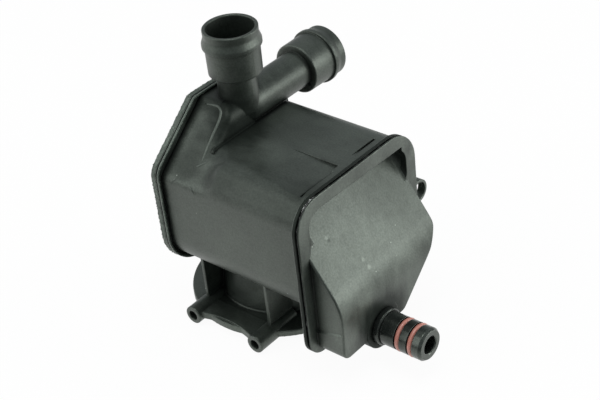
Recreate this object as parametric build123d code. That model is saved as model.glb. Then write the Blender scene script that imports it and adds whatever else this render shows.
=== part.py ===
from build123d import *
from math import atan, cos, radians, sin, tan
import os

os.makedirs("parts", exist_ok=True)

# Oil catch can. Millimetres, +Z up. Origin: axis of the round sump, in the plane of its lowest face.
# +X runs from the rear cover to the front cover with the drain spigot, -Y is the side with the screw bosses.

# clearances
FIT = 0.3          # loose moulded fit, a plug or rim inside its opening
SEAL_GAP = 0.25    # O-ring over its groove floor

BEYOND = 300.0     # longer than the part, for prisms that only cut

# walls
WALL = 2.2         # moulded wall of housing and covers
FLANGE_T = 2.2     # weld flanges of the housing
COVER_T = 2.0      # flange plate of the front cover
REAR_T = 2.8       # rear cover band
EDGE = 0.5         # rounded edges of flanges and bosses
SEAM_W, SEAM_DEEP = 1.3, 1.4       # open groove beside each weld, for the flash
REAR_LIP, REAR_SEAM_W = 0.7, 0.8   # lip in front of the rear groove, and that groove's width
REAR_FOOT_W, REAR_FOOT_DEEP = 1.3, 1.0   # groove along the foot of the rear flange

# body box (outer faces)
BODY_Y0, BODY_Y1 = -45.7, 36.2
BODY_Z0, BODY_Z1 = 30.6, 98.1
R_TOP, R_BOTTOM = 15.3, 18.0
X_REAR = -30.6                     # front face of the rear flange
X_JOINT = 60.5                     # parting plane to the front cover
X_FRONT = X_JOINT + COVER_T

# front flange pair
FF_Y0, FF_Y1 = -51.5, 38.3
FF_Z0, FF_Z1 = 14.0, BODY_Z1 + 2.7
FF_R_TOP, FF_R_BOTTOM = 15.5, 10.0
FF_R_RIGHT = 19.0                  # top corner on the far side

# rear hump, its slanted facets and the flange around it
HUMP_TOP = BODY_Z1 + 15.3
FACET_LOW = (BODY_Y0, BODY_Z1 - 13.7)
FACET_HIGH = (-11.0, HUMP_TOP)
FACET_SLOPE = (FACET_HIGH[1] - FACET_LOW[1]) / (FACET_HIGH[0] - FACET_LOW[0])
FACET_WALL = 1.6 * WALL                  # wall below the facet, thick enough at its rounds
FACET_FOOT_R, FACET_ROOF_R = 7.0, 20.0   # rounds between facet and side wall, facet and roof
REAR_RIM, REAR_FOOT = 2.5, 3.4     # overhang of the rear flange at its sides and its bottom
FACET_RIM = 4.4                    # and along the facets
REAR_TOP = HUMP_TOP + 1.5
X_REAR_JOINT = X_REAR - FLANGE_T
X_REAR_FACE = X_REAR_JOINT - REAR_T
PLUG_LEN = 3.0                     # rim of the rear cover inside the housing

# hose trunk and the two hose ends
TRUNK_X, TRUNK_Z, TRUNK_R = -16.9, BODY_Z1 + 6.7, 10.0
TUNNEL_R = 8.4                     # narrower closed half of the trunk, on the facet's side
TUNNEL_ROUND = 4.4                 # rounded edge where the facet cuts it
TUNNEL_FOOT = 0.6                  # hollow round along its foot on the roof
WIDEN = 3.5                        # length over which it widens to the open half
RAMP_X0, RAMP_X1 = -7.5, 4.5      # the facet runs out into the round roof edge between these
RAMP_RISE, RAMP_ROUND = 4.6, 22.0
TUBE_BORE_R = TRUNK_R - WALL
UP_Y = 1.5                         # axis of the upright hose end
UP_FOOT_Z = TRUNK_Z + 20.6         # step under the upright hose end
SIDE_FOOT_Y = BODY_Y1 + 8.4        # step of the level hose end
HOSE_R = 13.8
HOSE_BEAD_R = 15.0
HOSE_LIP_R = 13.9
HOSE_BORE_R = 12.1
HOSE_LEN = 24.4

# round sump
SUMP_R_TOP, SUMP_R_FOOT = 29.5, 33.2
SUMP_FOOT_Z = 9.0
DISC_R, DISC_Z0, DISC_Z1 = 48.7, 4.5, 8.1
SUMP_END_Z = 3.0
PAN_R, PAN_CHAMFER = 36.8, 4.5
PAN_RIM_H = 3.2

# screw bosses under the body
BOSS_X = (-18.5, 23.9)
BOSS_Z = 6.1
BOSS_R, BOSS_BORE_R = 4.9, 2.75
BOSS_FACE_Y = FF_Y0
BOSS_LEN = 15.0
BOSS_BORE_DEPTH = 13.0
RIB_T = 1.7
RIB_FRONT_Y, RIB_BACK_Y = -39.4, -22.0
RIDGE_BACK_Y = -23.0
WEB_BOW_Y, WEB_BACK_Y = -46.6, -36.0   # middle of the web's bowed front edge, and its back

# hood of the front cover
HOOD_Y0, HOOD_Y1 = -46.0, 31.8
HOOD_Z0, HOOD_Z1 = FF_Z0 + 2.3, BODY_Z1 - 5.6
SUNK_Y0, SUNK_Y1 = -41.0, 30.8     # the part of the slope that lies below the rim
SUNK_EASE, SUNK_EASE_X = 3.8, 2.3  # eased left border of that part, width and depth
SUNK_EASE_TOP = 1.7                # the same at its top
SUNK_ROUND = 3.0                   # hollow round along its floor
PANEL_DEEP, PANEL_LIP = 0.9, 1.3   # sunk panel in the hood's left side, and the edge in front of it
PANEL_Z0, PANEL_Z1 = 28.9, 32.9    # its lower border at the flange and at the front
PANEL_LEDGE = 1.5                  # height of the slanted ledge along that border
HOOD_LEVEL_Z = HOOD_Z1 - 20.8      # height where the slope lies level with the rim
HOOD_SLOPE = 0.70
HOOD_FACE_X = X_FRONT + 17.3
HOOD_BEND_R = 30.0
HOOD_DRAFT = 0.047                 # lower face leans back by this much per height
HOOD_ROUND = 1.0
SKIN = 2.3                         # hood wall
HOOD_BEND_Z = HOOD_LEVEL_Z - (HOOD_FACE_X - X_FRONT) / HOOD_SLOPE

# drain spigot
SPIGOT_Y, SPIGOT_Z = -16.0, 19.2
SPIGOT_R, SPIGOT_BORE_R = 8.6, 4.6
SPIGOT_SEAT_R = 8.3                # the end that sits in the collar
SPIGOT_END_X = X_FRONT + 44.4
COLLAR_R, COLLAR_X1 = 12.4, X_FRONT + 16.5
SEAT_X = COLLAR_X1 - 7.0
SLOT_W = 10.0                      # oil passage from the hood into the collar
SHOULDER_R, SHOULDER_T = 9.6, 3.2
RELIEF = 0.8                       # undercut in front of the shoulder
RING_X = (SPIGOT_END_X - 14.3, SPIGOT_END_X - 6.9)
RING_SECTION_R = 1.25
GROOVE_W = 3.3
RING_PROUD = 0.2                   # seated size of the rings above the spigot
RING_MAJOR_R = SPIGOT_R + RING_PROUD - RING_SECTION_R
GROOVE_R = RING_MAJOR_R - RING_SECTION_R - SEAL_GAP

# eye for a hose or cable on the back wall
EYE_X0, EYE_X1 = X_JOINT - 9.0, X_JOINT - 4.5
EYE_Y, EYE_Z = BODY_Y1 + 11.8, 52.5
EYE_R, EYE_HOLE_R = 6.4, 5.1


def yz(x):
    # sketch plane facing +X, local axes Y and Z
    return Plane(origin=(x, 0, 0), x_dir=(0, 1, 0), z_dir=(1, 0, 0))


def xz(y):
    # sketch plane facing +Y, local axes -X and Z
    return Plane(origin=(0, y, 0), x_dir=(-1, 0, 0), z_dir=(0, 1, 0))


def outline(corners):
    # closed outline from (a, b, radius) corners
    face = make_face(Polyline(*[(a, b) for a, b, r in corners], close=True))
    for a, b, r in corners:
        if r:
            near = face.vertices().sort_by_distance((a, b, 0))[0]
            face = fillet(near, r)
    return face


def along_x(sketch, x0, x1):
    return extrude(yz(x0) * sketch, amount=x1 - x0)


def along_y(corners, y0, y1):
    # prism along Y from corners given as (X, Z, radius)
    return extrude(xz(y0) * outline([(-a, b, r) for a, b, r in corners]), amount=y1 - y0)


def rod(radius, start, end):
    a, b = Vector(*start), Vector(*end)
    place = Plane(origin=a, z_dir=(b - a))
    return extrude(place * Circle(radius), amount=(b - a).length)


def grown(sketch, amount):
    return offset(sketch, amount=amount)


body_section = outline([
    (BODY_Y0, BODY_Z0, R_BOTTOM), (BODY_Y0, BODY_Z1, R_TOP),
    (BODY_Y1, BODY_Z1, R_TOP), (BODY_Y1, BODY_Z0, R_BOTTOM)])
front_outline = outline([
    (FF_Y0, FF_Z0, FF_R_BOTTOM), (FF_Y0, FF_Z1, FF_R_TOP),
    (FF_Y1, FF_Z1, FF_R_RIGHT), (FF_Y1, FF_Z0, FF_R_BOTTOM)])
# the right-hand facet mirrors the left one about the upright hose end
hump_right = 2 * UP_Y - FACET_HIGH[0]
facet_right_z = HUMP_TOP - FACET_SLOPE * (BODY_Y1 - hump_right)
rear_section = outline([
    (BODY_Y0, BODY_Z0, R_BOTTOM), (*FACET_LOW, FACET_FOOT_R), (*FACET_HIGH, 4.0),
    (hump_right, HUMP_TOP, 4.0), (BODY_Y1, facet_right_z, FACET_FOOT_R), (BODY_Y1, BODY_Z0, R_BOTTOM)])
rise = FACET_RIM * (1 + FACET_SLOPE ** 2) ** 0.5
rim_y0, rim_y1 = BODY_Y0 - REAR_RIM, BODY_Y1 + REAR_RIM
rim_corner_z = FACET_LOW[1] + rise - FACET_SLOPE * REAR_RIM
rim_corner_y = rim_y0 + (REAR_TOP - rim_corner_z) / FACET_SLOPE
rim_right_y = 2 * UP_Y - rim_corner_y
rim_right_z = REAR_TOP - FACET_SLOPE * (rim_y1 - rim_right_y)
rear_outline = outline([
    (rim_y0, BODY_Z0 - REAR_FOOT, R_BOTTOM + REAR_FOOT), (rim_y0, rim_corner_z, 9.0),
    (rim_corner_y, REAR_TOP, 3.0), (rim_right_y, REAR_TOP, 3.0),
    (rim_y1, rim_right_z, 9.0), (rim_y1, BODY_Z0 - REAR_FOOT, R_BOTTOM + REAR_FOOT)])


def below_facet(drop):
    # everything under the left facet plane, lowered by drop, as a prism through the trunk
    z = FACET_LOW[1] - drop
    top = z + FACET_SLOPE * BEYOND
    sketch = outline([(BODY_Y0, BODY_Z0, 0), (BODY_Y0, z, 0), (BODY_Y0 + BEYOND, top, 0),
                      (BODY_Y0 + BEYOND, BODY_Z0, 0)])
    return along_x(sketch, X_REAR_JOINT, X_JOINT)


def above_facet(drop):
    # what lies above the left facet near the rear and above its run-out towards the front, lowered by drop
    cos = 1 / (1 + FACET_SLOPE ** 2) ** 0.5
    place = Plane(origin=(0, *FACET_LOW), x_dir=(1, 0, 0), z_dir=(0, -cos, -cos * FACET_SLOPE))
    sketch = outline([(X_REAR_JOINT - WALL, -drop, 0), (RAMP_X0, -drop, RAMP_ROUND),
                      (RAMP_X1, RAMP_RISE - drop, 0), (RAMP_X1, BEYOND, 0), (X_REAR_JOINT - WALL, BEYOND, 0)])
    return extrude(place * sketch, amount=2 * R_TOP, both=True)


def turned(centre, radius, degrees):
    return Vector(centre[0] + radius * cos(radians(degrees)), centre[1] + radius * sin(radians(degrees)))


# roof corner on the boss side: share 1 gives the facet with its two rounds, share 0 the plain round
CORNER_Z0, CORNER_Y1 = FACET_LOW[1] - 5.0, BODY_Y0 + 26.0


def roof_corner(share):
    lean = atan(FACET_SLOPE) * 180 / 3.141592653589793
    foot_t = FACET_FOOT_R * tan(radians(90 - lean) / 2)
    foot_c = (BODY_Y0 + FACET_FOOT_R, FACET_LOW[1] - foot_t)
    roof_t = FACET_ROOF_R * tan(radians(lean) / 2)
    roof_c = (BODY_Y0 + (BODY_Z1 - FACET_LOW[1]) / FACET_SLOPE + roof_t, BODY_Z1 - FACET_ROOF_R)
    plain_c = (BODY_Y0 + R_TOP, BODY_Z1 - R_TOP)
    cut = [turned(foot_c, FACET_FOOT_R, a) for a in (180, 135 + lean / 2, 90 + lean)]
    cut += [turned(roof_c, FACET_ROOF_R, a) for a in (90 + lean, 90 + lean / 2, 90)]
    cut.insert(3, (cut[2] + cut[3]) / 2)
    plain = [turned(plain_c, R_TOP, a) for a in (180, 172, 164, 132, 100, 95, 90)]
    pts = [a * share + b * (1 - share) for a, b in zip(cut, plain)]
    low, high = Vector(BODY_Y0, CORNER_Z0), Vector(CORNER_Y1, BODY_Z1)
    middle = Line(pts[2], pts[4]) if share == 1 else ThreePointArc(pts[2], pts[3], pts[4])
    return make_face([
        Line(low, pts[0]), ThreePointArc(*pts[0:3]), middle, ThreePointArc(*pts[4:7]), Line(pts[6], high),
        Line(high, (CORNER_Y1, CORNER_Z0)), Line((CORNER_Y1, CORNER_Z0), low)])


def hose_end_outer():
    # local frame: foot step at 0, mouth up the local Z
    pts = [(0, 0), (HOSE_R - 0.7, 0), (HOSE_R - 0.2, 0.5), (HOSE_R, 14.8), (HOSE_BEAD_R, 14.9),
           (HOSE_BEAD_R, 17.0), (HOSE_R, 20.4), (HOSE_LIP_R, 22.6),
           (HOSE_LIP_R, HOSE_LEN - 0.4), (HOSE_LIP_R - 0.4, HOSE_LEN), (0, HOSE_LEN)]
    face = make_face(Polyline(*pts, close=True))
    rounds = ((HOSE_R, 14.8, 0.15), (HOSE_BEAD_R, 14.9, 0.25), (HOSE_BEAD_R, 17.0, 1.4), (HOSE_R, 20.4, 2.0))
    for a, b, r in rounds:
        face = fillet(face.vertices().sort_by_distance((a, b, 0))[0], r)
    return revolve(Plane.XZ * face, axis=Axis.Z)


def hose_end_bore():
    floor = WALL
    pts = [(0, floor), (HOSE_BORE_R - 0.8, floor), (HOSE_BORE_R, floor + 0.8),
           (HOSE_BORE_R, HOSE_LEN - 0.4), (HOSE_BORE_R + 0.4, HOSE_LEN),
           (HOSE_BORE_R + 0.4, HOSE_LEN + 1), (0, HOSE_LEN + 1)]
    return revolve(Plane.XZ * make_face(Polyline(*pts, close=True)), axis=Axis.Z)


up_place = Plane(origin=(TRUNK_X, UP_Y, UP_FOOT_Z))
side_place = Plane(origin=(TRUNK_X, SIDE_FOOT_Y, TRUNK_Z), x_dir=(1, 0, 0), z_dir=(0, 1, 0))

# housing: outer forms
box = along_x(body_section, X_REAR_JOINT, X_JOINT)
corner_block = make_face(Polyline(
    (BODY_Y0, CORNER_Z0), (BODY_Y0, BODY_Z1), (CORNER_Y1, BODY_Z1), (CORNER_Y1, CORNER_Z0), close=True))
box -= along_x(corner_block, X_REAR_JOINT, RAMP_X1)
box += along_x(roof_corner(1.0), X_REAR_JOINT, RAMP_X0)
ramp = []
for t in (0, 0.25, 0.5, 0.75, 1):
    ramp.append(yz(RAMP_X0 + (RAMP_X1 - RAMP_X0) * t) * roof_corner(1 - 3 * t ** 2 + 2 * t ** 3))
box += loft(ramp)
# shallow tilted field on the roof beside the front flange
field_x0, field_x1, field_y1, field_depth = 24.0, 52.0, -7.5, 1.3
CREASE_W, CREASE_DEEP, CREASE_BACK = 1.4, 2.0, 1.0   # groove at its end, and the thicker roof below it
box -= along_y([(field_x0, BODY_Z1, 0), (field_x1, BODY_Z1 - field_depth, 0),
                (field_x1, BODY_Z1 + 2, 0), (field_x0, BODY_Z1 + 2, 0)], BODY_Y0 - 1, field_y1)
crease_z = BODY_Z1 - CREASE_DEEP
crease = outline([
    (BODY_Y0 + 8, BODY_Z1, 0), (BODY_Y0 + 11, crease_z, 0), (field_y1 - 6, BODY_Z1 - field_depth, 0),
    (field_y1 - 3, BODY_Z1 + 2, 0), (BODY_Y0 + 8, BODY_Z1 + 2, 0)])
crease += outline([
    (3, BODY_Z1, 0), (10, BODY_Z1 - CREASE_DEEP / 2, 0), (20, BODY_Z1 - CREASE_DEEP / 2, 0),
    (20, BODY_Z1 + 2, 0), (3, BODY_Z1 + 2, 0)])
box -= along_x(crease, field_x1 - 0.2, field_x1 + CREASE_W - 0.2)
front_flange = along_x(front_outline, X_JOINT - FLANGE_T, X_JOINT)
front_flange = fillet(front_flange.faces().sort_by(Axis.X)[0].edges(), EDGE)
rear_flange = along_x(rear_outline, X_REAR_JOINT, X_REAR)
rear_flange = fillet(rear_flange.faces().sort_by(Axis.X)[-1].edges(), EDGE)
rear_seam_x1 = X_REAR - REAR_LIP
rear_seam = rear_outline - grown(rear_outline, -SEAM_DEEP)
rear_flange -= along_x(rear_seam, rear_seam_x1 - REAR_SEAM_W, rear_seam_x1)
hump = along_x(rear_section, X_REAR_JOINT, TRUNK_X)
# trunk: closed tunnel with a round top, cut off by the facet, then a plain tube to the level hose end
tunnel_x1 = TRUNK_X + TUNNEL_R
tunnel_form = Pos(TRUNK_X, TRUNK_Z) * Circle(TUNNEL_R)
tunnel_low = FACET_LOW[1] - 1.5 * TUNNEL_ROUND
tunnel_form += Pos(TRUNK_X, (TRUNK_Z + tunnel_low) / 2) * Rectangle(2 * TUNNEL_R, TRUNK_Z - tunnel_low)
tunnel_place = Plane(origin=(0, UP_Y, 0), x_dir=(1, 0, 0), z_dir=(0, -1, 0))
tunnel = extrude(tunnel_place * tunnel_form, amount=UP_Y - BODY_Y0) & below_facet(0)
facet_face = tunnel.faces().filter_by(lambda f: f.normal_at().Y < -0.5 and f.normal_at().Z > 0.5)[0]
tunnel = fillet(facet_face.edges().filter_by(lambda e: e.center().X > TRUNK_X - TUNNEL_R + 1), TUNNEL_ROUND)
foot = make_face(Polyline((tunnel_x1 - 1, BODY_Z1 - 1), (tunnel_x1 + TUNNEL_FOOT, BODY_Z1 - 1),
                          (tunnel_x1 + TUNNEL_FOOT, BODY_Z1), (tunnel_x1, BODY_Z1 + TUNNEL_FOOT),
                          (tunnel_x1 - 1, BODY_Z1 + TUNNEL_FOOT), close=True))
foot -= Pos(tunnel_x1 + TUNNEL_FOOT, BODY_Z1 + TUNNEL_FOOT) * Circle(TUNNEL_FOOT)
foot_strip = extrude(tunnel_place * foot, amount=UP_Y - BODY_Y0) & below_facet(TUNNEL_FOOT * 0.7)
trunk = tunnel + foot_strip + rod(TRUNK_R, (TRUNK_X, UP_Y, TRUNK_Z), (TRUNK_X, SIDE_FOOT_Y + 1, TRUNK_Z))
neck = rod(TRUNK_R, (TRUNK_X, UP_Y, TRUNK_Z), (TRUNK_X, UP_Y, UP_FOOT_Z + 1))
widen_place = Plane(origin=(TRUNK_X, UP_Y - WIDEN, TRUNK_Z), x_dir=(1, 0, 0), z_dir=(0, 1, 0))
trunk += widen_place.location * Cone(TUNNEL_R, TRUNK_R, WIDEN, align=(Align.CENTER, Align.CENTER, Align.MIN))

sump_face = make_face(Polyline(
    (0, BODY_Z0 + 1.5), (SUMP_R_TOP, BODY_Z0 + 1.5), (SUMP_R_FOOT, SUMP_FOOT_Z), (SUMP_R_FOOT, DISC_Z1),
    (DISC_R, DISC_Z1), (DISC_R, DISC_Z0), (PAN_R, DISC_Z0), (PAN_R, SUMP_END_Z), (0, SUMP_END_Z), close=True))
sump_face = fillet(sump_face.vertices().sort_by_distance((SUMP_R_FOOT, DISC_Z1, 0))[0], 0.85)
for edge_z in (DISC_Z0, DISC_Z1):
    sump_face = fillet(sump_face.vertices().sort_by_distance((DISC_R, edge_z, 0))[0], EDGE)
sump = revolve(Plane.XZ * sump_face, axis=Axis.Z)

bosses = []
for bx in BOSS_X:
    tube_end = BOSS_FACE_Y + BOSS_LEN
    boss = rod(BOSS_R, (bx, BOSS_FACE_Y, BOSS_Z), (bx, tube_end, BOSS_Z))
    bosses.append(fillet(boss.faces().sort_by(Axis.Y)[0].edges(), EDGE))
    ridge = rod(BOSS_R, (bx, tube_end - 1, BOSS_Z), (bx, RIDGE_BACK_Y, BOSS_Z))
    bosses.append(ridge & Pos(bx, BOSS_FACE_Y, DISC_Z0 + BOSS_R * 2) * Box(BOSS_R * 3, BEYOND, BOSS_R * 4))
    rib_z0, rib_z1 = DISC_Z1 - 1.0, BODY_Z0 + R_BOTTOM / 3
    bosses.append(Pos(bx, (RIB_FRONT_Y + RIB_BACK_Y) / 2, (rib_z0 + rib_z1) / 2) * Box(
        RIB_T, RIB_BACK_Y - RIB_FRONT_Y, rib_z1 - rib_z0))

# web between the bosses, its front edge bowed inwards
left_x, right_x = BOSS_X[0] + 2.0, BOSS_X[1] - 2.0
web_y = BOSS_FACE_Y + 1.2
web_front = ThreePointArc((left_x, web_y), ((left_x + right_x) / 2, WEB_BOW_Y), (right_x, web_y))
web_back = Polyline((right_x, web_y), (right_x, WEB_BACK_Y), (left_x, WEB_BACK_Y), (left_x, web_y))
bosses.append(extrude(Pos(0, 0, DISC_Z0 + 0.4) * make_face([web_front, web_back]), amount=DISC_Z1 - DISC_Z0))

eye = rod(EYE_R, (EYE_X0, EYE_Y, EYE_Z), (EYE_X1, EYE_Y, EYE_Z))
stem_y0 = BODY_Y1 - 1.0
stem = Pos((EYE_X0 + EYE_X1) / 2, (stem_y0 + EYE_Y) / 2, EYE_Z + 3.4) * Box(
    EYE_X1 - EYE_X0, EYE_Y - stem_y0, 3.0)

housing = box + front_flange + rear_flange + hump + trunk + neck
housing += up_place.location * hose_end_outer()
housing += side_place.location * hose_end_outer()
housing -= along_x(grown(rear_section, REAR_FOOT_W) - rear_section, X_REAR - REAR_FOOT_DEEP, X_REAR + 1)
housing += sump
for piece in bosses:
    housing += piece
housing += eye + stem

# housing: hollows
cavity_section = grown(body_section, -WALL)
roof_bar = Pos(field_x1 + CREASE_W / 2, (BODY_Y0 + BODY_Y1) / 2, BODY_Z1 - WALL) * Box(
    3 * CREASE_W, BODY_Y1 - BODY_Y0, 2 * CREASE_BACK)
housing -= along_x(cavity_section, X_REAR_JOINT - 1, X_JOINT + 1) - above_facet(FACET_WALL) - roof_bar
housing -= along_x(grown(rear_section, -WALL), X_REAR_JOINT - 1, TRUNK_X)
housing -= rod(TUBE_BORE_R, (TRUNK_X, UP_Y, TRUNK_Z), (TRUNK_X, SIDE_FOOT_Y + WALL + 0.5, TRUNK_Z))
tunnel_bore = rod(TUNNEL_R - WALL, (TRUNK_X, BODY_Y0, TRUNK_Z), (TRUNK_X, UP_Y, TRUNK_Z))
housing -= tunnel_bore & below_facet(WALL * 1.7)
housing -= rod(TUBE_BORE_R, (TRUNK_X, UP_Y, TRUNK_Z), (TRUNK_X, UP_Y, UP_FOOT_Z + WALL + 0.5))
housing -= up_place.location * hose_end_bore()
housing -= side_place.location * hose_end_bore()
sump_hollow = make_face(Polyline(
    (0, BODY_Z0 + 4), (SUMP_R_TOP - 4.5, BODY_Z0 + 4), (SUMP_R_TOP - 4.5, BODY_Z0 - 1.0),
    (SUMP_R_TOP - WALL, BODY_Z0 - 2.5), (SUMP_R_FOOT - WALL, SUMP_FOOT_Z),
    (SUMP_R_FOOT - WALL, SUMP_END_Z - 1), (0, SUMP_END_Z - 1), close=True))
housing -= revolve(Plane.XZ * sump_hollow, axis=Axis.Z)
for bx in BOSS_X:
    housing -= rod(BOSS_BORE_R, (bx, BOSS_FACE_Y - 1, BOSS_Z), (bx, BOSS_FACE_Y + BOSS_BORE_DEPTH, BOSS_Z))
housing -= rod(EYE_HOLE_R, (EYE_X0 - 1, EYE_Y, EYE_Z), (EYE_X1 + 1, EYE_Y, EYE_Z))

# rear cover: weld band, plug rim and a raised field outside
rear_cover = along_x(rear_outline, X_REAR_FACE, X_REAR_JOINT)
rear_cover = fillet(rear_cover.faces().sort_by(Axis.X)[0].edges(), EDGE)
plug = grown(rear_section, -(WALL + FIT)) - grown(rear_section, -(WALL + FIT + 1.8))
rear_cover += along_x(plug, X_REAR_JOINT, X_REAR_JOINT + PLUG_LEN)
rear_cover += along_x(grown(rear_section, -7.0), X_REAR_FACE - 1.4, X_REAR_FACE)

# front cover: flange plate, sloping hood sunk at its top, drain collar
hood_outline = outline([
    (HOOD_Y0, HOOD_Z0, 5.0), (HOOD_Y0, HOOD_Z1, 9.0), (HOOD_Y1, HOOD_Z1, 9.0),
    (HOOD_Y1, 50.0, 7.0), (25.2, 40.0, 9.0), (2.0, HOOD_Z0, 5.0)])
sunk_outline = outline([
    (SUNK_Y0, HOOD_LEVEL_Z - 6, 0), (SUNK_Y0, HOOD_Z1, 9.0),
    (SUNK_Y1, HOOD_Z1, 9.0), (SUNK_Y1, HOOD_LEVEL_Z - 6, 0)])


def hood_x(z):
    return X_FRONT + HOOD_SLOPE * (HOOD_LEVEL_Z - z)


def under_hood(back):
    # prism of everything behind the hood surface moved back by an amount along X
    sketch = [(-BEYOND, 0, 0), (-BEYOND, BEYOND, 0), (hood_x(BEYOND) - back, BEYOND, 0),
              (HOOD_FACE_X - back, HOOD_BEND_Z, HOOD_BEND_R),
              (HOOD_FACE_X - HOOD_DRAFT * HOOD_BEND_Z - back, 0, 0)]
    return along_y(sketch, -BEYOND, BEYOND)


sunk_x0 = hood_x(HOOD_Z1) - 3 * SKIN
hood_x1 = HOOD_FACE_X + SKIN
hood = along_x(hood_outline, X_JOINT, hood_x1) & under_hood(0)
hood_front = [f for f in hood.faces() if f.normal_at().X > 0.4 and f.center().X > X_JOINT + 0.5]
hood_sides = [f for f in hood.faces() if abs(f.normal_at().X) < 0.05]
side_edges = [e for f in hood_sides for e in f.edges()]
rim_edges = [e for f in hood_front for e in f.edges() if any(e.is_same(o) for o in side_edges)]
hood = fillet(rim_edges, HOOD_ROUND)
plate = along_x(front_outline, X_JOINT, X_FRONT)
plate = fillet(plate.faces().sort_by(Axis.X)[-1].edges(), EDGE)
plate -= along_x(front_outline - grown(front_outline, -SEAM_DEEP), X_JOINT, X_JOINT + SEAM_W)
sunk = along_x(grown(sunk_outline, COVER_T), sunk_x0, X_JOINT) - under_hood(SKIN)
front_cover = plate + hood + sunk
sunk_space = along_x(sunk_outline, sunk_x0, X_FRONT + 1) - under_hood(0)
sunk_floor = sunk_space.faces().filter_by(lambda f: f.normal_at().X < -0.4)[0]
front_cover -= fillet(sunk_floor.edges().sort_by(Axis.Z)[1:], SUNK_ROUND)
hood_hollow = grown(hood_outline, -(COVER_T + PANEL_DEEP / 2))
front_cover -= along_x(hood_hollow, X_JOINT - 1, hood_x1) & under_hood(SKIN)
ease_z0, ease_y1 = HOOD_LEVEL_Z - 2, SUNK_Y1 - 3
ease_mouth = outline([(SUNK_Y0 - SUNK_EASE, ease_z0, 0), (SUNK_Y0 - SUNK_EASE, HOOD_Z1 + SUNK_EASE_TOP, 10.5),
                      (ease_y1, HOOD_Z1, 0), (ease_y1, ease_z0, 0)])
ease_end = outline([(SUNK_Y0, ease_z0, 0), (SUNK_Y0, HOOD_Z1 - 0.01, 9.0),
                    (ease_y1, HOOD_Z1 - 0.02, 0), (ease_y1, ease_z0, 0)])
ease = loft([yz(X_FRONT) * ease_mouth, yz(X_FRONT - SUNK_EASE_X) * ease_end], ruled=True)
ease += along_x(ease_mouth, X_FRONT, X_FRONT + 1)
front_cover -= ease - under_hood(0)
panel_sides = []
for y, ledge in ((HOOD_Y0 - 0.2, PANEL_LEDGE), (HOOD_Y0 + PANEL_DEEP, 0)):
    panel_sides.append(xz(y) * outline([
        (-X_FRONT, PANEL_Z0 - ledge, 0), (-HOOD_FACE_X, PANEL_Z1 - ledge, 0),
        (-HOOD_FACE_X, HOOD_Z1, 0), (-X_FRONT, HOOD_Z1, 0)]))
panel = loft(panel_sides, ruled=True)
front_cover -= panel & under_hood(PANEL_LIP)
spigot_axis = (SPIGOT_Y, SPIGOT_Z)
collar = rod(COLLAR_R, (X_FRONT - 1.0, *spigot_axis), (COLLAR_X1, *spigot_axis))
front_cover += fillet(collar.faces().sort_by(Axis.X)[-1].edges(), EDGE)
front_cover -= rod(SPIGOT_SEAT_R - WALL, (X_FRONT + WALL, *spigot_axis), (SEAT_X + 1, *spigot_axis))
front_cover -= rod(SPIGOT_SEAT_R + FIT, (SEAT_X, *spigot_axis), (COLLAR_X1 + 1, *spigot_axis))
slot_z0, slot_z1 = SPIGOT_Z + 2.0, SPIGOT_Z + COLLAR_R + 2
front_cover -= Pos((X_FRONT + WALL + SEAT_X - 1) / 2, SPIGOT_Y, (slot_z0 + slot_z1) / 2) * Box(
    SEAT_X - 1 - X_FRONT - WALL, SLOT_W, slot_z1 - slot_z0)

# drain spigot with two ring grooves
half_groove = GROOVE_W / 2
shoulder_x = COLLAR_X1 + FIT
spigot_pts = [(SPIGOT_BORE_R, SEAT_X + FIT), (SPIGOT_SEAT_R, SEAT_X + FIT), (SPIGOT_SEAT_R, shoulder_x),
              (SHOULDER_R, shoulder_x), (SHOULDER_R, shoulder_x + SHOULDER_T - 0.5),
              (SHOULDER_R - 0.5, shoulder_x + SHOULDER_T), (SPIGOT_SEAT_R, shoulder_x + SHOULDER_T),
              (SPIGOT_SEAT_R, shoulder_x + SHOULDER_T + RELIEF), (SPIGOT_R, shoulder_x + SHOULDER_T + RELIEF)]
for rx in RING_X:
    spigot_pts += [(SPIGOT_R, rx - half_groove), (GROOVE_R, rx - half_groove),
                   (GROOVE_R, rx + half_groove), (SPIGOT_R, rx + half_groove)]
spigot_pts += [(SPIGOT_R, SPIGOT_END_X - 1.4), (SPIGOT_R - 1.0, SPIGOT_END_X),
               (SPIGOT_BORE_R + 0.5, SPIGOT_END_X), (SPIGOT_BORE_R, SPIGOT_END_X - 0.5)]
spigot_place = Plane(origin=(0, SPIGOT_Y, SPIGOT_Z), x_dir=(0, 1, 0), z_dir=(1, 0, 0))
spigot_face = make_face(Polyline(*spigot_pts, close=True))
drain_spigot = spigot_place.location * revolve(Plane.XZ * spigot_face, axis=Axis.Z)


def seal_ring(x):
    section = Pos(RING_MAJOR_R, x) * Circle(RING_SECTION_R)
    return spigot_place.location * revolve(Plane.XZ * section, axis=Axis.Z)


# bottom pan that closes the sump
rim_r = SUMP_R_FOOT - WALL - FIT
rim_z = SUMP_END_Z + PAN_RIM_H
pan_pts = [(0, 0), (PAN_R - PAN_CHAMFER, 0), (PAN_R, 0.4 * SUMP_END_Z), (PAN_R, SUMP_END_Z),
           (rim_r, SUMP_END_Z), (rim_r, rim_z), (rim_r - 0.8 * WALL, rim_z), (rim_r - 0.8 * WALL, WALL),
           (0, WALL)]
bottom_pan = revolve(Plane.XZ * make_face(Polyline(*pan_pts, close=True)), axis=Axis.Z)

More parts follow.
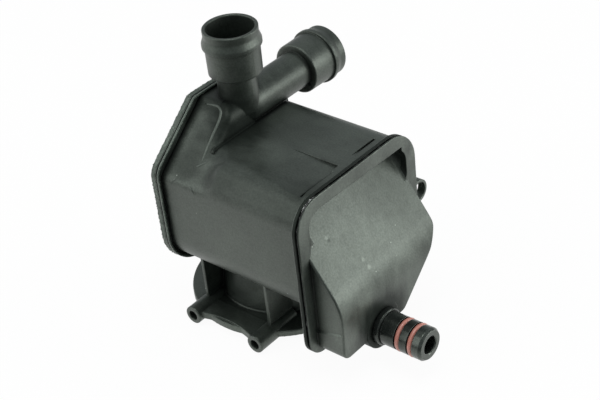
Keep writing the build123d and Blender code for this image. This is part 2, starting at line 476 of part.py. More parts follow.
# labyrinth insert: a long divider with cross vanes, slid in from the rear
DIVIDER_Y, DIVIDER_T = 14.0, 1.8
INS_X0, INS_X1 = X_REAR_JOINT + PLUG_LEN + 2 * FIT, 36.0
TAB_LAP = 5.0
floor_z, roof_z = BODY_Z0 + WALL, BODY_Z1 - WALL
divider = Pos((INS_X0 + INS_X1) / 2, DIVIDER_Y, (floor_z + roof_z) / 2) * Box(
    INS_X1 - INS_X0, DIVIDER_T, roof_z - floor_z - 2 * FIT)
tab_z1 = HUMP_TOP - WALL - FIT - 3.0
divider += Pos((INS_X0 + TRUNK_X) / 2, DIVIDER_Y, (roof_z - TAB_LAP + tab_z1) / 2) * Box(
    TRUNK_X - INS_X0 - FIT, DIVIDER_T, tab_z1 - roof_z + TAB_LAP)
insert = divider
inner = grown(body_section, -(WALL + FIT))
VANE_T = 1.6
GAP_H = 17.0
left_side = Pos(0, (BODY_Y0 + DIVIDER_Y) / 2, 0) * Box(BEYOND, DIVIDER_Y - BODY_Y0, BEYOND)
right_side = Pos(0, (BODY_Y1 + DIVIDER_Y) / 2, 0) * Box(BEYOND, BODY_Y1 - DIVIDER_Y, BEYOND)
for vx, side, low_gap in ((-2.0, left_side, True), (12.0, left_side, False), (26.0, left_side, True),
                          (19.0, right_side, False), (3.0, right_side, True)):
    vane = (along_x(inner, vx, vx + VANE_T) & side) - above_facet(FACET_WALL + FIT)
    gap_mid = floor_z + GAP_H / 2 if low_gap else roof_z - GAP_H / 2
    vane -= Pos(vx, 0, gap_mid) * Box(4 * VANE_T, BEYOND, GAP_H)
    insert += vane

nodes = {
    "housing": housing,
    "front_cover": front_cover,
    "rear_cover": rear_cover,
    "bottom_pan": bottom_pan,
    "drain_spigot": drain_spigot,
    "seal_ring_inner": seal_ring(RING_X[0]),
    "seal_ring_outer": seal_ring(RING_X[1]),
    "labyrinth_insert": insert,
}
for name, solid in nodes.items():
    parts = solid.solids()
    print(name, len(parts), "solids", round(sum(s.volume for s in parts)), "mm3", solid.bounding_box())
    export_step(solid if len(parts) > 1 else parts[0], f"parts/{name}.step")
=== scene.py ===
import math

import bmesh
import bpy
from mathutils import Matrix, Vector, geometry, noise


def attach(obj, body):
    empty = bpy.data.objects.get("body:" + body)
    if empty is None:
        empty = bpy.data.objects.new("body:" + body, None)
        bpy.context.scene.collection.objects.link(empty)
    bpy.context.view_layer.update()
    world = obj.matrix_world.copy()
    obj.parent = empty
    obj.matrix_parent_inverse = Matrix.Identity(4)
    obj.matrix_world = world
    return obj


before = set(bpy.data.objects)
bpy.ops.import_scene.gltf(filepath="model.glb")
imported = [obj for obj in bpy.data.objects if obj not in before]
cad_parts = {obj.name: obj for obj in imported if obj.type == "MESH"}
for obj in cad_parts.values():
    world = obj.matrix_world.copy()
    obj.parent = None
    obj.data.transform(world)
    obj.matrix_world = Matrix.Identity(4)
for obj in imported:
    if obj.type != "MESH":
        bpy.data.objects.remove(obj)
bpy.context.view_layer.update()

MM = 0.001
COLOUR_A, COLOUR_B, COLOUR_OUT = 6, 7, 2   # colour sockets of a Mix node

# nylon: sizes of its marks in mm
CLOUD_MM = 17.0       # cloudy patches
FLOW_MM = 5.0         # flow lines, across
DUST_CELL_MM = 3.2    # a cell that may hold one speck of dust
CORNER_MM = 4.0       # reach of the painted shade in inner corners
RIM_RAGGED_MM = 1.2   # how far the burnt rim's border wanders
# nylon: levels
NYLON_IOR = 1.56
PATCH_LOW, PATCH_HIGH = 0.7, 1.35   # clouds and flow lines added up, from deep to skin
ROUGH_SPREAD = 0.06
GLOSS = 0.85
STAIN_RAGGED = 0.3    # wander of a stain's border, as a share of its reach
RIM_GLOSS = 0.12      # gloss that the burnt rim keeps
RIM_FACING = 0.6      # faces turned further to the front than this aren't burnt


def linear(hex_colour):
    # sRGB hex to the linear colour that Blender's sockets take
    out = []
    for i in (1, 3, 5):
        c = int(hex_colour[i:i + 2], 16) / 255
        out.append(c / 12.92 if c <= 0.04045 else ((c + 0.055) / 1.055) ** 2.4)
    return (*out, 1.0)


def add(tree, kind, links=None, **settings):
    # one node: settings are its own properties, links are values or sockets for its inputs
    node = tree.nodes.new(kind)
    for key, value in settings.items():
        setattr(node, key, value)
    for key, value in (links or {}).items():
        if isinstance(value, bpy.types.NodeSocket):
            tree.links.new(value, node.inputs[key])
        else:
            node.inputs[key].default_value = value
    return node


def fresh_material(name):
    material = bpy.data.materials.new(name)
    material.use_nodes = True
    tree = material.node_tree
    tree.nodes.clear()
    return material, tree


def per(size_mm):
    # noise scale that gives one patch per size_mm on coordinates in metres
    return 1.0 / (size_mm * MM)


# Moulded glass-filled nylon, black: a satin skin that reads dark grey-green, with cloudy patches where the
# fibre comes near the skin, thin flow lines along the mould's filling and a fine spark-eroded grain. Edges may
# be painted paler, as rubbed wear and as a painted highlight, and inner corners get painted shade.
# stains: oily, duller places, each a centre, the distances in mm where it is full and where it ends, and the
# gloss that it takes; a negative one is polished instead.
# creases: dull straight lines, each a point, the axes that its distance counts, then as for a stain.
# seam: the two heights in X between which the skin beside the weld is burnt.
# front: extra gloss of faces that look straight to the front.
def moulded_nylon(name, skin, deep, roughness, grain_mm, grain_depth_mm, haze, flow=(1.0, 1.0, 1.0),
                  specks=0.0, edge_mm=0.3, corner_shade=0.85, edge_wear_and_highlight=0.0, clouds=0.13, stains=(), creases=(),
                  seam=None, front=0.0):
    material, tree = fresh_material(name)
    place = add(tree, "ShaderNodeTexCoord").outputs["Object"]
    cloud = add(tree, "ShaderNodeTexNoise", {
        "Vector": place, "Scale": per(CLOUD_MM), "Detail": 4.0, "Roughness": 0.55})
    along = add(tree, "ShaderNodeMapping", {"Vector": place, "Scale": flow})
    lines = add(tree, "ShaderNodeTexNoise", {
        "Vector": along.outputs["Vector"], "Scale": per(FLOW_MM), "Detail": 5.0, "Roughness": 0.6})
    # the real grain is about 0.08 mm; it is drawn coarser so that the render shows it
    grain = add(tree, "ShaderNodeTexNoise", {"Vector": place, "Scale": per(grain_mm), "Detail": 2.0})
    mixed = add(tree, "ShaderNodeMath", {0: cloud.outputs["Fac"], 1: lines.outputs["Fac"]}, operation="ADD")
    patch = add(tree, "ShaderNodeMapRange", {
        "Value": mixed.outputs["Value"], "From Min": PATCH_LOW, "From Max": PATCH_HIGH}).outputs["Result"]
    colour = add(tree, "ShaderNodeMix", {"Factor": patch, COLOUR_A: linear(deep), COLOUR_B: linear(skin)},
                 data_type="RGBA")
    rough = add(tree, "ShaderNodeMapRange", {
        "Value": patch, "To Min": roughness - ROUGH_SPREAD, "To Max": roughness + ROUGH_SPREAD})

    # open edges painted a little paler, as rubbed wear on the cover and as a painted highlight on the spigot: the
    # rounded normal leaves the true one only near an edge
    rounded = add(tree, "ShaderNodeBevel", {"Radius": edge_mm * MM}, samples=6).outputs["Normal"]
    flat = add(tree, "ShaderNodeNewGeometry").outputs["Normal"]
    bend = add(tree, "ShaderNodeVectorMath", {0: rounded, 1: flat}, operation="DOT_PRODUCT")
    openness = add(tree, "ShaderNodeAmbientOcclusion", {"Distance": CORNER_MM * MM}, samples=8).outputs["AO"]
    bent = add(tree, "ShaderNodeMapRange", {
        "Value": bend.outputs["Value"], "From Min": 0.96, "From Max": 0.75, "To Max": edge_wear_and_highlight})
    open_edge = add(tree, "ShaderNodeMapRange", {"Value": openness, "From Min": 0.8, "From Max": 0.95})
    edge_pale = add(tree, "ShaderNodeMath", {0: bent.outputs["Result"], 1: open_edge.outputs["Result"]},
              operation="MULTIPLY")
    edge_paled = add(tree, "ShaderNodeMix", {
        "Factor": edge_pale.outputs["Value"], COLOUR_A: colour.outputs[COLOUR_OUT], COLOUR_B: linear(haze)},
        data_type="RGBA")

    # painted shade in inner corners: darker where the surroundings close in
    painted_corner_shade = add(tree, "ShaderNodeMapRange", {
        "Value": openness, "From Min": 0.88, "From Max": 0.45, "To Max": corner_shade}).outputs["Result"]
    corner_shaded = add(tree, "ShaderNodeMix", {
        "Factor": painted_corner_shade, COLOUR_A: edge_paled.outputs[COLOUR_OUT], COLOUR_B: linear("#121413")}, data_type="RGBA")

    # pale dust specks, about 0.6 mm, thinly spread
    spot = add(tree, "ShaderNodeTexVoronoi", {"Vector": place, "Scale": per(DUST_CELL_MM)})
    near = add(tree, "ShaderNodeMapRange", {
        "Value": spot.outputs["Distance"], "From Min": 0.13, "From Max": 0.06})
    chosen = add(tree, "ShaderNodeSeparateColor", {"Color": spot.outputs["Color"]})
    few = add(tree, "ShaderNodeMath", {0: chosen.outputs["Red"], 1: 1.0 - specks}, operation="GREATER_THAN")
    dusty = add(tree, "ShaderNodeMath", {0: near.outputs["Result"], 1: few.outputs["Value"]},
                operation="MULTIPLY")
    final = add(tree, "ShaderNodeMix", {
        "Factor": dusty.outputs["Value"], COLOUR_A: corner_shaded.outputs[COLOUR_OUT], COLOUR_B: linear("#8d948c")},
        data_type="RGBA")

    # gloss: cloudy in itself, sparkling with the grain, then what each of these leaves of it
    gloss = add(tree, "ShaderNodeMapRange", {
        "Value": patch, "To Min": GLOSS - clouds, "To Max": GLOSS + clouds}).outputs["Result"]
    sparkle = add(tree, "ShaderNodeMapRange", {
        "Value": grain.outputs["Fac"], "From Min": 0.3, "From Max": 0.7, "To Min": 0.82, "To Max": 1.18})
    # the painted corner shade also takes gloss away there
    unshaded = add(tree, "ShaderNodeMath", {0: 1.0, 1: painted_corner_shade}, operation="SUBTRACT")
    shares = [sparkle.outputs["Result"], unshaded.outputs["Value"]]
    ragged = add(tree, "ShaderNodeMath", {0: lines.outputs["Fac"], 1: 0.5}, operation="SUBTRACT")
    for centre, full, ends, amount in stains:
        away = add(tree, "ShaderNodeVectorMath", {0: place, 1: Vector(centre) * MM}, operation="DISTANCE")
        border = add(tree, "ShaderNodeMath", {
            0: ragged.outputs["Value"], 1: STAIN_RAGGED * ends * MM, 2: away.outputs["Value"]},
            operation="MULTIPLY_ADD")
        left = add(tree, "ShaderNodeMapRange", {
            "Value": border.outputs["Value"], "From Min": full * MM, "From Max": ends * MM,
            "To Min": 1.0 - amount, "To Max": 1.0}, interpolation_type="SMOOTHSTEP")
        shares.append(left.outputs["Result"])
    for through, axes, full, ends, amount in creases:
        level = add(tree, "ShaderNodeVectorMath", {0: place, 1: axes}, operation="MULTIPLY")
        away = add(tree, "ShaderNodeVectorMath", {0: level.outputs["Vector"], 1: Vector(through) * MM},
                   operation="DISTANCE")
        left = add(tree, "ShaderNodeMapRange", {
            "Value": away.outputs["Value"], "From Min": full * MM, "From Max": ends * MM,
            "To Min": 1.0 - amount, "To Max": 1.0})
        shares.append(left.outputs["Result"])
    if seam:
        across = add(tree, "ShaderNodeSeparateXYZ", {"Vector": place})
        facing = add(tree, "ShaderNodeSeparateXYZ", {"Vector": flat})
        # burnt rim: dull and black, with ragged borders, not on faces to the front
        rim = add(tree, "ShaderNodeMath", {
            0: ragged.outputs["Value"], 1: RIM_RAGGED_MM * MM, 2: across.outputs["X"]},
            operation="MULTIPLY_ADD")
        inside = add(tree, "ShaderNodeMath", {
            0: rim.outputs["Value"], 1: sum(seam) / 2 * MM, 2: (seam[1] - seam[0]) / 2 * MM},
            operation="COMPARE")
        side = add(tree, "ShaderNodeMath", {0: facing.outputs["X"], 1: RIM_FACING}, operation="LESS_THAN")
        burnt = add(tree, "ShaderNodeMath", {0: inside.outputs["Value"], 1: side.outputs["Value"]},
                    operation="MULTIPLY")
        left = add(tree, "ShaderNodeMapRange", {
            "Value": burnt.outputs["Value"], "To Min": 1.0, "To Max": RIM_GLOSS})
        # faces straight to the front, polished by the weld plate
        flush = add(tree, "ShaderNodeMapRange", {
            "Value": facing.outputs["X"], "From Min": 0.9, "From Max": 0.97,
            "To Min": 1.0, "To Max": 1.0 + front})
        shares += [left.outputs["Result"], flush.outputs["Result"]]
    for share in shares:
        gloss = add(tree, "ShaderNodeMath", {0: gloss, 1: share}, operation="MULTIPLY").outputs["Value"]

    bump = add(tree, "ShaderNodeBump", {
        "Height": grain.outputs["Fac"], "Strength": 0.7, "Distance": grain_depth_mm * MM, "Normal": rounded})
    nylon = add(tree, "ShaderNodeBsdfPrincipled", {
        "Base Color": final.outputs[COLOUR_OUT], "Roughness": rough.outputs["Result"], "IOR": NYLON_IOR,
        "Specular IOR Level": gloss, "Specular Tint": linear("#f1fff0"), "Normal": bump.outputs["Normal"]})
    add(tree, "ShaderNodeOutputMaterial", {"Surface": nylon.outputs["BSDF"]})
    return material


# Weld flash, the same nylon squeezed out of the seam: black and rough crumbs of about 1 mm, with thin pale curls
# that catch the light round one place.
def weld_flash(name, curls_at):
    material, tree = fresh_material(name)
    place = add(tree, "ShaderNodeTexCoord").outputs["Object"]
    crumb = add(tree, "ShaderNodeTexNoise", {
        "Vector": place, "Scale": per(1.1), "Detail": 3.0, "Roughness": 0.7}).outputs["Fac"]
    away = add(tree, "ShaderNodeVectorMath", {0: place, 1: Vector(curls_at) * MM}, operation="DISTANCE")
    close = add(tree, "ShaderNodeMapRange", {
        "Value": away.outputs["Value"], "From Min": 9 * MM, "From Max": 3 * MM, "To Max": 0.11})
    raised = add(tree, "ShaderNodeMath", {0: crumb, 1: close.outputs["Result"]}, operation="ADD")
    curl = add(tree, "ShaderNodeMapRange", {
        "Value": raised.outputs["Value"], "From Min": 0.64, "From Max": 0.74})
    colour = add(tree, "ShaderNodeMix", {
        "Factor": curl.outputs["Result"], COLOUR_A: linear("#111312"), COLOUR_B: linear("#c9cec8")},
        data_type="RGBA")
    rough = add(tree, "ShaderNodeMapRange", {"Value": crumb, "To Min": 0.35, "To Max": 0.7})
    bump = add(tree, "ShaderNodeBump", {"Height": crumb, "Strength": 0.8, "Distance": 0.3 * MM})
    flash = add(tree, "ShaderNodeBsdfPrincipled", {
        "Base Color": colour.outputs[COLOUR_OUT], "Roughness": rough.outputs["Result"], "IOR": NYLON_IOR,
        "Normal": bump.outputs["Normal"]})
    add(tree, "ShaderNodeOutputMaterial", {"Surface": flash.outputs["BSDF"]})
    return material


# Silicone rubber, salmon: a soft, moulded skin with a faint dusty bloom and fine pores.
def silicone_rubber(name):
    material, tree = fresh_material(name)
    place = add(tree, "ShaderNodeTexCoord").outputs["Object"]
    bloom = add(tree, "ShaderNodeTexNoise", {"Vector": place, "Scale": per(3), "Detail": 3.0})
    pore = add(tree, "ShaderNodeTexNoise", {"Vector": place, "Scale": per(0.5), "Detail": 2.0}).outputs["Fac"]
    colour = add(tree, "ShaderNodeMix", {
        "Factor": bloom.outputs["Fac"], COLOUR_A: linear("#a86354"), COLOUR_B: linear("#cb9082")},
        data_type="RGBA")
    rough = add(tree, "ShaderNodeMapRange", {"Value": pore, "To Min": 0.2, "To Max": 0.34})
    bump = add(tree, "ShaderNodeBump", {"Height": pore, "Strength": 0.4, "Distance": 0.03 * MM})
    rubber = add(tree, "ShaderNodeBsdfPrincipled", {
        "Base Color": colour.outputs[COLOUR_OUT], "Roughness": rough.outputs["Result"], "IOR": 1.41,
        "Specular IOR Level": 0.9, "Normal": bump.outputs["Normal"]})
    add(tree, "ShaderNodeOutputMaterial", {"Surface": rubber.outputs["BSDF"]})
    return material


# White paper sweep: it stays white for the camera and takes the object's shadow. In reflections it is white at
# the sides, with a painted shade towards the viewer that stands for the object's own shade there.
TO_VIEWER = (0.69, -0.72, 0.0)
PAPER_WHITE = 0.95   # share of plain white where the paper is seen or mirrored


def paper_floor(name):
    material, tree = fresh_material(name)
    place = add(tree, "ShaderNodeTexCoord").outputs["Object"]
    fibre = add(tree, "ShaderNodeTexNoise", {"Vector": place, "Scale": per(40), "Detail": 2.0})
    tone = add(tree, "ShaderNodeMix", {
        "Factor": fibre.outputs["Fac"], COLOUR_A: linear("#f4f4f2"), COLOUR_B: linear("#f8f8f7")},
        data_type="RGBA")
    paper = add(tree, "ShaderNodeBsdfDiffuse", {"Color": tone.outputs[COLOUR_OUT]})
    # painted shade in reflections of the paper, growing towards the viewer
    forward = add(tree, "ShaderNodeVectorMath", {0: place, 1: TO_VIEWER}, operation="DOT_PRODUCT")
    painted_reflection_shade = add(tree, "ShaderNodeMapRange", {
        "Value": forward.outputs["Value"], "From Min": 95 * MM, "From Max": 150 * MM,
        "To Min": 1.0, "To Max": 0.1})
    ray = add(tree, "ShaderNodeLightPath").outputs
    level = add(tree, "ShaderNodeMath", {0: ray["Is Camera Ray"], 1: painted_reflection_shade.outputs["Result"]},
                operation="MAXIMUM")
    white = add(tree, "ShaderNodeEmission", {"Color": (1, 1, 1, 1), "Strength": level.outputs["Value"]})
    seen = add(tree, "ShaderNodeMath", {0: ray["Is Camera Ray"], 1: ray["Is Glossy Ray"]},
               operation="MAXIMUM")
    seen = add(tree, "ShaderNodeMath", {0: seen.outputs["Value"], 1: ray["Is Transmission Ray"]},
               operation="MAXIMUM")
    share = add(tree, "ShaderNodeMath", {0: seen.outputs["Value"], 1: PAPER_WHITE}, operation="MULTIPLY")
    both = add(tree, "ShaderNodeMixShader", {
        0: share.outputs["Value"], 1: paper.outputs["BSDF"], 2: white.outputs["Emission"]})
    add(tree, "ShaderNodeOutputMaterial", {"Surface": both.outputs["Shader"]})
    return material


# dull and polished places that the photograph shows: centre, full, ends, amount
HOUSING_STAINS = (
    ((-9, -8, 103), 8, 20, 0.9),            # closed half of the hose trunk
    ((-22, -7, 116), 9, 17, 0.65),          # foot of the upright hose end
    ((45, 12, 98), 14, 46, -0.25),          # front of the roof
    ((-4, -33, 24), 10, 21, 0.6),           # sump wall
    ((12, -20, 98), 8, 18, -0.6),           # roof beside its round edge
    ((17, 4, 98), 6, 20, 0.2),              # middle of the roof
    ((20, -46, 48), 14, 40, -0.12),         # left wall
    ((-4, 64, 112), 6, 14, 0.25),           # level hose end
    ((-16.9, 1.5, 138), 10.5, 13, 0.6),     # bore of the upright hose end
    ((54, 48, 52.5), 7, 10, -0.5),          # small eye
    ((-8, 20, 110), 4, 14, 0.22),           # level tube
    ((-8, 36, 110), 4, 14, 0.22),           # level tube, further out
    ((-33, -27, 100), 4, 9, -0.5),          # facet beside the rear flange
    ((5, -39, 95), 6, 18, 0.18),            # round edge of the roof
    ((52, -31, 98), 3, 13, 0.4),            # front left corner of the roof
    ((-9, -20, 102), 4, 10, 0.4),           # side of the trunk's closed half
    ((-32, -30, 8), 4, 14, -0.15),          # disc
    ((-17, -22, 104), 4, 11, 0.35),         # facet, from its top to its foot
    ((-17, -30, 98), 4, 11, 0.35),
    ((-19, -38, 91), 4, 11, 0.35),
    ((-9.3, -8, 108.5), 4, 9, -1.3),        # top of the trunk's closed half
    ((6, -46, 9), 6, 16, -0.15),            # left rib
    # dust beside the creases of the roof: along the front one, and at the end of the slanting one
    *(((52.2, y, 97.2), 0.5, 2.3, 0.32) for y in range(-36, -19, 2)),
    *(((x, -7.2, 97.3), 0.5, 2.0, 0.3) for x in range(42, 52, 2)),
)
HOUSING_CREASES = (
    ((-8.3, 0, 98.3), (1.0, 0.0, 1.0), 0.5, 1.6, 0.9),    # foot of the trunk's closed half, along Y
    ((0, -42.2, 92.6), (0.0, 1.0, 1.0), 1.5, 7.0, 0.4),   # lower part of the roof's round edge, along X
)
HOOD_STAINS = (
    ((80, -16, 20), 13, 25, 0.87),          # round the drain's collar
    ((70, -20, 62), 12, 42, -0.22),         # middle of the slope
    ((58, 26, 80), 10, 34, 0.25),           # upper right of the slope
    ((80, -36, 36), 8, 24, -0.5),           # lower left
    ((80, 4, 38), 8, 22, -0.12),            # lower right
    ((66, -52, 100), 9, 27, -0.5),          # flange, upper left corner
    ((66, -22, 102), 7, 18, -0.3),          # flange, top
    ((66, 8, 102), 7, 18, -0.3),
    ((66, 34, 94), 8, 18, -0.6),            # flange, upper right corner
    ((66, 40, 78), 6, 14, -0.35),           # flange, right side
    ((57, 31, 88), 2.5, 8, 0.6),            # upper right corner of the sunk field
    ((62, -30.4, 72.3), 0.3, 1.5, 0.4),     # scuff, its dull and its bright half
    ((61.2, -30.8, 73.8), 0.5, 1.4, -0.5),
    ((75, -18, 54.5), 0.5, 1.8, -0.6),      # bright flecks
    ((72, -19, 58), 0.4, 1.3, -0.5),
    ((69, -46, 26), 5, 14, -0.15),          # foot of the hood's left side
)
SPIGOT_STAINS = (((84, -16, 20), 11, 22, 0.5),)   # inner half of the spigot
LIP_STAINS = (((-12, -35, 94), 6, 22, -0.35),)    # foot of the lip

finishes = {
    "housing": moulded_nylon(
        "housing_glass_filled_nylon", skin="#232824", deep="#1a1e1b", roughness=0.43, grain_mm=0.9,
        grain_depth_mm=0.06, haze="#6a726b", flow=(0.5, 1.0, 1.0), specks=0.02, edge_mm=1.0,
        stains=HOUSING_STAINS, creases=HOUSING_CREASES, seam=(58.9, 62.0)),
    "front_cover": moulded_nylon(
        "cover_glass_filled_nylon", skin="#262b27", deep="#1c201d", roughness=0.44, grain_mm=0.9,
        grain_depth_mm=0.06, haze="#727a73", flow=(1.0, 1.0, 0.3), specks=0.07, edge_mm=0.8,
        edge_wear_and_highlight=0.12, clouds=0.26, stains=HOOD_STAINS, seam=(59.0, 62.3), front=0.13),
    "rear_cover": moulded_nylon(
        "rear_cover_grained_nylon", skin="#3c433d", deep="#2a302b", roughness=0.5, grain_mm=1.2,
        grain_depth_mm=0.25, haze="#858c86", corner_shade=0.1),
    "bottom_pan": moulded_nylon(
        "pan_glass_filled_nylon", skin="#222723", deep="#1a1e1b", roughness=0.42, grain_mm=0.9,
        grain_depth_mm=0.03, haze="#5c635d"),
    "labyrinth_insert": moulded_nylon(
        "insert_plain_nylon", skin="#222723", deep="#1a1e1b", roughness=0.45, grain_mm=0.9,
        grain_depth_mm=0.03, haze="#545b55"),
    # the spigot's pale edges are a painted highlight
    "drain_spigot": moulded_nylon(
        "spigot_semi_gloss_plastic", skin="#1d201f", deep="#151716", roughness=0.26, grain_mm=0.8,
        grain_depth_mm=0.012, haze="#b9bfb9", edge_mm=0.45, edge_wear_and_highlight=0.45, stains=SPIGOT_STAINS),
    "seal_ring_inner": silicone_rubber("inner_ring_silicone"),
    "seal_ring_outer": silicone_rubber("outer_ring_silicone"),
}
for node, finish in finishes.items():
    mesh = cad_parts[node].data
    mesh.materials.clear()
    mesh.materials.append(finish)


def set_piece(name, bm, finish):
    # the finished mesh becomes a piece of its own that rides on the can
    mesh = bpy.data.meshes.new(name)
    bm.to_mesh(mesh)
    bm.free()
    mesh.materials.append(finish)
    piece = bpy.data.objects.new(name, mesh)
    bpy.context.scene.collection.objects.link(piece)
    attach(piece, "root")


# weld seams: flange outlines as corners of y, z and radius, all in mm
FRONT_FLANGE = ((-51.5, 14.0, 10.0), (-51.5, 100.8, 15.5), (38.3, 100.8, 19.0), (38.3, 14.0, 10.0))
REAR_FLANGE = ((-48.2, 27.2, 21.4), (-48.2, 88.04, 9.0), (-16.07, 114.9, 3.0), (19.07, 114.9, 3.0),
               (38.7, 98.49, 9.0), (38.7, 27.2, 21.4))
STEP = 0.8                              # between the points of a seam ring
CURLS = Vector((61.2, -41.5, 100.0))    # where most flash stands out, at the upper left corner
CURLS_REACH = 6.0
FLASH_LOW, FLASH_RISE = -1.15, 1.09     # the flash in its groove, and how far it comes up
RIDGE_X, OPEN_X = -31.9, -32.5          # rear weld: the ridge lies in front of the first, torn skin behind the last
CRUMB_SHIFT = Vector((7, 3, 5))         # sets the fine crumbs apart from the coarse ones


def seam_ring(name, corners, x0, x1, deep, rows, stand, finish):
    # a ring of squeezed-out plastic along a rounded flange outline: x0 and x1 are its sides, deep its thickness,
    # rows its cuts across, and stand(point) says how far its outer skin stands off the outline
    bm = bmesh.new()
    bm.faces.new([bm.verts.new(Vector((x0, y, z)) * MM) for y, z, radius in corners])
    points = [Vector((y, z)) for y, z, radius in corners]
    for i, vert in enumerate(list(bm.verts)):
        before = points[i] - points[i - 1]
        after = points[(i + 1) % len(points)] - points[i]
        tangent = corners[i][2] * math.tan(before.angle(after) / 2)
        bmesh.ops.bevel(bm, geom=[vert], offset=tangent * MM, offset_type="OFFSET", affect="VERTICES",
                        segments=14, profile=0.5, material=-1)
    for edge in list(bm.edges):
        cuts = int(edge.calc_length() / (STEP * MM))
        if cuts:
            bmesh.ops.subdivide_edges(bm, edges=[edge], cuts=cuts)
    outline = bm.faces[:][0]
    bmesh.ops.inset_individual(bm, faces=[outline], thickness=deep * MM, use_even_offset=True)
    bmesh.ops.delete(bm, geom=[outline], context="FACES")
    made = bmesh.ops.extrude_face_region(bm, geom=bm.faces[:])["geom"]
    moved = [g for g in made if isinstance(g, bmesh.types.BMVert)]
    bmesh.ops.translate(bm, verts=moved, vec=((x1 - x0) * MM, 0, 0))
    across = [e for e in bm.edges if abs(e.verts[0].co.x - e.verts[1].co.x) > 0.5 * (x1 - x0) * MM]
    bmesh.ops.subdivide_edges(bm, edges=across, cuts=rows, use_grid_fill=True)
    bmesh.ops.recalc_face_normals(bm, faces=bm.faces[:])
    bm.normal_update()
    centre = sum((v.co for v in bm.verts), Vector()) / len(bm.verts)
    for vert, out in [(v, Vector((0, v.normal.y, v.normal.z))) for v in bm.verts]:
        if out.dot(vert.co - centre) > 0:
            vert.co += out.normalized() * stand(vert.co / MM) * MM
    for part in bm.faces:
        part.smooth = True
    set_piece(name, bm, finish)


def front_stand(p):
    # the flash lies deep in its groove and comes up in places, most at the curls
    wave = max(0.0, noise.noise(p * 0.35) + 0.35 * noise.noise(p * 1.3))
    rise = min(1.0, 1.1 * wave + math.exp(-((p - CURLS).length / CURLS_REACH) ** 2))
    return FLASH_LOW + FLASH_RISE * rise


def rear_stand(p):
    # torn, crumbly skin of the rear weld, then an open line, then the smoother ridge of the housing's flange
    if p.x > RIDGE_X:
        return 0.12 + 0.06 * noise.noise(p * 0.8)
    if p.x > OPEN_X:
        return -0.7 + 0.3 * noise.noise(p * 1.7)
    return 0.05 + 0.5 * noise.noise(p * 1.1) + 0.4 * noise.noise(p * 2.3 + CRUMB_SHIFT)


seam_ring("front_weld_flash", FRONT_FLANGE, 60.55, 61.75, 1.36, 2, front_stand,
          weld_flash("front_weld_flash_nylon", CURLS))
seam_ring("rear_weld_skin", REAR_FLANGE, -35.4, -30.5, 1.0, 9, rear_stand,
          moulded_nylon("rear_weld_torn_nylon", skin="#566057", deep="#343b36", roughness=0.4, grain_mm=1.1,
                        grain_depth_mm=0.7, haze="#8f968f", corner_shade=0.2, clouds=0.3))

# thin moulded lip along the facet's inner edge, in mm; its route lies on the facet's plane
FACET_NORMAL = Vector((0.0, -0.64, 0.77))
FACET_LIP = ((-26.3, -13.5, 111.3), (-19.1, -12.8, 111.9), (-16.1, -13.5, 111.3), (-14.5, -15.1, 110.0),
             (-13.5, -18.1, 107.5), (-13.2, -23.3, 103.2), (-12.9, -27.4, 99.7), (-12.4, -31.9, 95.9),
             (-12.0, -34.4, 93.8))
LIP_TICK = ((-13.7, -37.2, 91.5), (-11.6, -35.8, 92.7), (-9.2, -34.0, 94.1))
LIP_SUNK = 0.67                   # share of the bead's radius that lies under the surface
LIP_TIP, LIP_FULLNESS = 0.2, 0.35   # least share of the radius at the ends, and how soon it is full


def lip(name, route, radius, finish):
    # a thin round bead swept along the route, tapering to its ends
    stops = [Vector(p) for p in route]
    path = []
    for i in range(len(stops) - 1):
        before = stops[max(i - 1, 0)]
        after = stops[min(i + 2, len(stops) - 1)]
        path += geometry.interpolate_bezier(stops[i], stops[i] + (stops[i + 1] - before) / 6,
                                            stops[i + 1] - (after - stops[i]) / 6, stops[i + 1], 5)[:-1]
    path.append(stops[-1])
    last = len(path) - 1
    sections = []
    for i, point in enumerate(path):
        along = (path[min(i + 1, last)] - path[max(i - 1, 0)]).normalized()
        side = along.cross(FACET_NORMAL).normalized()
        over = side.cross(along)
        r = radius * max(LIP_TIP, math.sin(math.pi * i / last) ** LIP_FULLNESS)
        turned = Matrix((side, over, along)).transposed().to_4x4()
        sections.append(Matrix.Translation((point - over * LIP_SUNK * r) * MM) @ turned
                        @ Matrix.Diagonal((r * MM, r * MM, 1.0, 1.0)))
    bm = bmesh.new()
    bmesh.ops.create_circle(bm, cap_ends=True, segments=10, radius=1.0, matrix=sections[0])
    edges = bm.edges[:]
    for here, there in zip(sections, sections[1:]):
        made = bmesh.ops.extrude_edge_only(bm, edges=edges)["geom"]
        edges = [g for g in made if isinstance(g, bmesh.types.BMEdge)]
        moved = [g for g in made if isinstance(g, bmesh.types.BMVert)]
        bmesh.ops.transform(bm, matrix=there @ here.inverted(), verts=moved)
    bmesh.ops.contextual_create(bm, geom=edges)
    bmesh.ops.recalc_face_normals(bm, faces=bm.faces[:])
    for part in bm.faces:
        part.smooth = len(part.verts) == 4
    set_piece(name, bm, finish)


lip_nylon = moulded_nylon("facet_lip_nylon", skin="#2a302b", deep="#1f2420", roughness=0.42, grain_mm=0.9,
                          grain_depth_mm=0.03, haze="#6a726b", corner_shade=0.1, stains=LIP_STAINS)
lip("facet_lip", FACET_LIP, 1.2, lip_nylon)
lip("facet_lip_tick", LIP_TICK, 0.9, lip_nylon)

# floor
floor_mesh = bpy.data.meshes.new("paper_floor")
bm = bmesh.new()
bmesh.ops.create_grid(bm, x_segments=8, y_segments=8, size=6.0)
bm.to_mesh(floor_mesh)
bm.free()
floor = bpy.data.objects.new("paper_floor", floor_mesh)
floor_mesh.materials.append(paper_floor("white_paper_sweep"))
bpy.context.scene.collection.objects.link(floor)

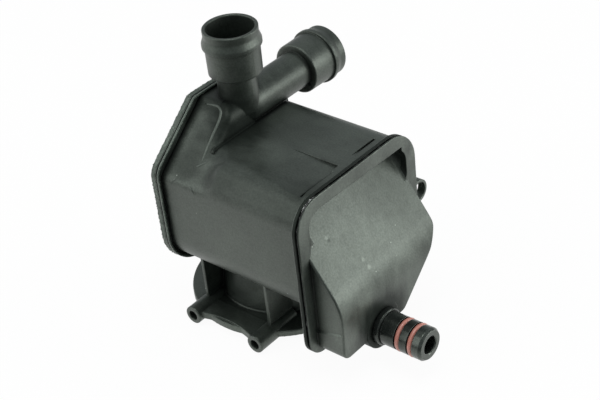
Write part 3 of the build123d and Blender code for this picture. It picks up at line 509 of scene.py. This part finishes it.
# camera, fitted to straight edges and circles of the photograph
EYE = Vector((0.4335, -0.4368, 0.4702))
right = Vector((0.7644, 0.6375, -0.0965)).normalized()
back = Vector((0.5708, -0.5995, 0.5611))
back = (back - right * back.dot(right)).normalized()
up = back.cross(right)
camera_data = bpy.data.cameras.new("photo_camera")
camera_data.sensor_width = 36.0
camera_data.lens = 87.12
camera_data.clip_start = 0.01
camera_data.clip_end = 50.0
camera = bpy.data.objects.new("photo_camera", camera_data)
camera.matrix_world = Matrix.Translation(EYE) @ Matrix((right, up, back)).transposed().to_4x4()
bpy.context.scene.collection.objects.link(camera)
bpy.context.scene.camera = camera

AIM = Vector((0.01, 0.0, 0.06))   # middle of the can


def softbox(name, where, width, height, watts):
    lamp = bpy.data.lights.new(name, "AREA")
    lamp.shape = "RECTANGLE"
    lamp.size = width
    lamp.size_y = height
    lamp.energy = watts
    box = bpy.data.objects.new(name, lamp)
    turn = (AIM - Vector(where)).to_track_quat("-Z", "Y")
    box.matrix_world = Matrix.Translation(where) @ turn.to_matrix().to_4x4()
    bpy.context.scene.collection.objects.link(box)


softbox("right_softbox", (1.06, 0.70, 0.29), width=1.3, height=0.56, watts=9.4)
softbox("left_softbox", (-0.85, -1.0, 0.78), width=1.2, height=1.5, watts=8.0)
softbox("rear_softbox", (-1.25, -0.05, 0.3), width=0.6, height=0.5, watts=1.2)
softbox("back_softbox", (-0.85, 0.92, 0.88), width=1.3, height=1.0, watts=0.35)
softbox("top_softbox", (0.15, -0.15, 1.6), width=0.9, height=0.9, watts=10.0)

# world: dim room, white where the camera looks past the floor
world = bpy.data.worlds.new("studio_room")
world.use_nodes = True
room = world.node_tree
room.nodes.clear()
ray = add(room, "ShaderNodeLightPath").outputs
dim = add(room, "ShaderNodeBackground", {"Color": linear("#c8ccd0"), "Strength": 0.63})
white = add(room, "ShaderNodeBackground", {"Color": (1, 1, 1, 1), "Strength": 1.0})
both = add(room, "ShaderNodeMixShader", {
    0: ray["Is Camera Ray"], 1: dim.outputs["Background"], 2: white.outputs["Background"]})
add(room, "ShaderNodeOutputWorld", {"Surface": both.outputs["Shader"]})
bpy.context.scene.world = world

bpy.context.scene.view_settings.view_transform = "Standard"

bpy.context.view_layer.update()
